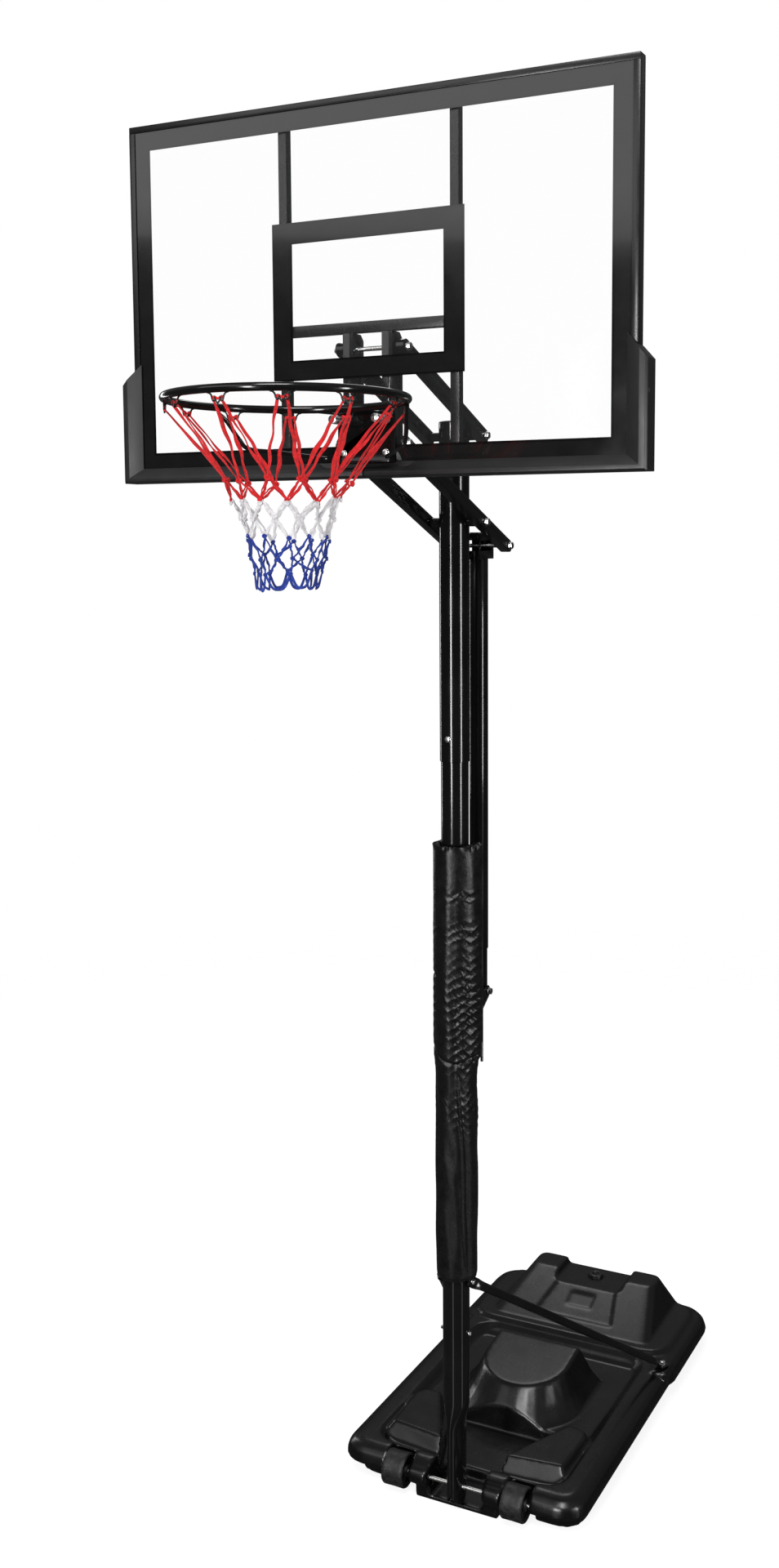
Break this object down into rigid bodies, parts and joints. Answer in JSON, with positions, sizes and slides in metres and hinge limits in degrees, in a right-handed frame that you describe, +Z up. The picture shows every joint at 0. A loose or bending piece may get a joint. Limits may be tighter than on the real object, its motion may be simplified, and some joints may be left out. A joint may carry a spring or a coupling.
{
  "type": "portable basketball hoop",
  "caption": "Portable basketball hoop: ballast base on rollers, padded pole, crank-raised lift arms, framed clear backboard, sprung rim with net.",
  "frame": {"origin": "on the floor under the pole's axis, at the front of the moulded base", "axes": "+Z up, -Y towards the player, +X to the player's right"},
  "size_m": [1.2448, 2.084, 3.3476],
  "materials": {
    "moulded_base": "satin",
    "roller": "matte",
    "cover": "satin",
    "pad": "woven nylon",
    "net_cord": "braided",
    "clear_sheet": "clear, polished",
    "spring": "drawn wire",
    "zinc": "zinc plated",
    "coated_steel": "gloss powder coat"
  },
  "bodies": {
    "stand": {"base_tank": "moulded_base", "axle": "zinc", "pole_lower": "coated_steel", "pole_middle": "coated_steel", "pole_upper": "coated_steel", "pole_cap": "moulded_base", "pole_joint_bolt": "zinc", "pole_lock_bolt": "zinc", "strut_left": "coated_steel", "strut_right": "coated_steel", "strut_top_bolt": "zinc", "strut_foot_bolt_left": "zinc", "strut_foot_bolt_right": "zinc", "pole_pad": "pad", "lift_foot_bracket": "coated_steel", "lift_pivot_bolt": "zinc", "lift_inner_tube": "coated_steel", "upper_pivot_bolt": "zinc", "lower_pivot_bolt": "zinc", "upper_spacer_left": "coated_steel", "upper_spacer_right": "coated_steel", "lower_spacer_left": "coated_steel", "lower_spacer_right": "coated_steel"},
    "filler_cap": {"filler_cap": "moulded_base"},
    "wheel_left": {"wheel_left": "roller"},
    "wheel_right": {"wheel_right": "roller"},
    "crank": {"crank": "zinc"},
    "lower_arms": {"lower_arm_left": "coated_steel", "lower_arm_right": "coated_steel", "tail_bolt": "zinc"},
    "upper_arms": {"upper_arm_left": "coated_steel", "upper_arm_right": "coated_steel"},
    "lift_outer": {"lift_outer_tube": "coated_steel", "lift_yoke": "coated_steel"},
    "board": {"board_sheet": "clear_sheet", "frame_top": "coated_steel", "frame_bottom": "coated_steel", "frame_left": "coated_steel", "frame_right": "coated_steel", "upright_left": "coated_steel", "upright_right": "coated_steel", "crossbar": "coated_steel", "board_channel_left": "coated_steel", "board_channel_right": "coated_steel", "upper_board_bolt": "zinc", "lower_board_bolt": "zinc", "cover_left": "cover", "cover_right": "cover", "spring_bolt_left": "zinc", "spring_bolt_right": "zinc", "rim_bolt_left": "zinc", "rim_bolt_right": "zinc"},
    "rim": {"rim_ring": "coated_steel", "rim_bracket": "coated_steel", "rim_brace_left": "coated_steel", "rim_brace_right": "coated_steel", "rim_spring_left": "spring", "rim_spring_right": "spring", "net": "net_cord"}
  },
  "joints": [
    {"name": "wheel_left_spin", "type": "hinge", "parent": "stand", "child": "wheel_left", "pos_m": [-0.165, -0.003, 0.0595], "axis": [1, 0, 0], "continuous": true},
    {"name": "wheel_right_spin", "type": "hinge", "parent": "stand", "child": "wheel_right", "pos_m": [0.165, -0.003, 0.0595], "axis": [1, 0, 0], "continuous": true},
    {"name": "filler_cap_turn", "type": "hinge", "parent": "stand", "child": "filler_cap", "pos_m": [0, 1.003, 0.163], "axis": [0, 0, 1], "range_deg": [0, 360]},
    {"name": "crank_swing", "type": "hinge", "parent": "stand", "child": "crank", "pos_m": [0, 0.084, 1.282], "axis": [1, 0, 0], "range_deg": [-5, 80]},
    {"name": "arm_lift", "type": "hinge", "parent": "stand", "child": "lower_arms", "pos_m": [0, 0, 2.475], "axis": [-1, 0, 0], "range_deg": [-55, 25]},
    {"name": "upper_arm_swing", "type": "hinge", "parent": "stand", "child": "upper_arms", "pos_m": [0, 0, 2.675], "axis": [-1, 0, 0], "range_deg": [-56, 26]},
    {"name": "board_level", "type": "hinge", "parent": "lower_arms", "child": "board", "pos_m": [0, -0.39507, 2.63382], "axis": [-1, 0, 0], "range_deg": [-26, 56]},
    {"name": "lift_slide", "type": "slide", "parent": "stand", "child": "lift_outer", "axis": [0, 0, 1], "range_m": [-0.06, 0.131]},
    {"name": "rim_breakaway", "type": "hinge", "parent": "board", "child": "rim", "pos_m": [0, -0.4239, 2.5935], "axis": [1, 0, 0], "range_deg": [0, 6], "stiffness_Nm_per_rad": 120, "springref_deg": -20.05, "deforming": ["rim_spring_left", "rim_spring_right"]}
  ],
  "couplings": [
    {"joint": "upper_arm_swing", "follows": "arm_lift", "ratio": 1},
    {"joint": "board_level", "follows": "arm_lift", "ratio": -1},
    {"joint": "lift_slide", "follows": "arm_lift", "m_per_rad": -0.1355}
  ]
}
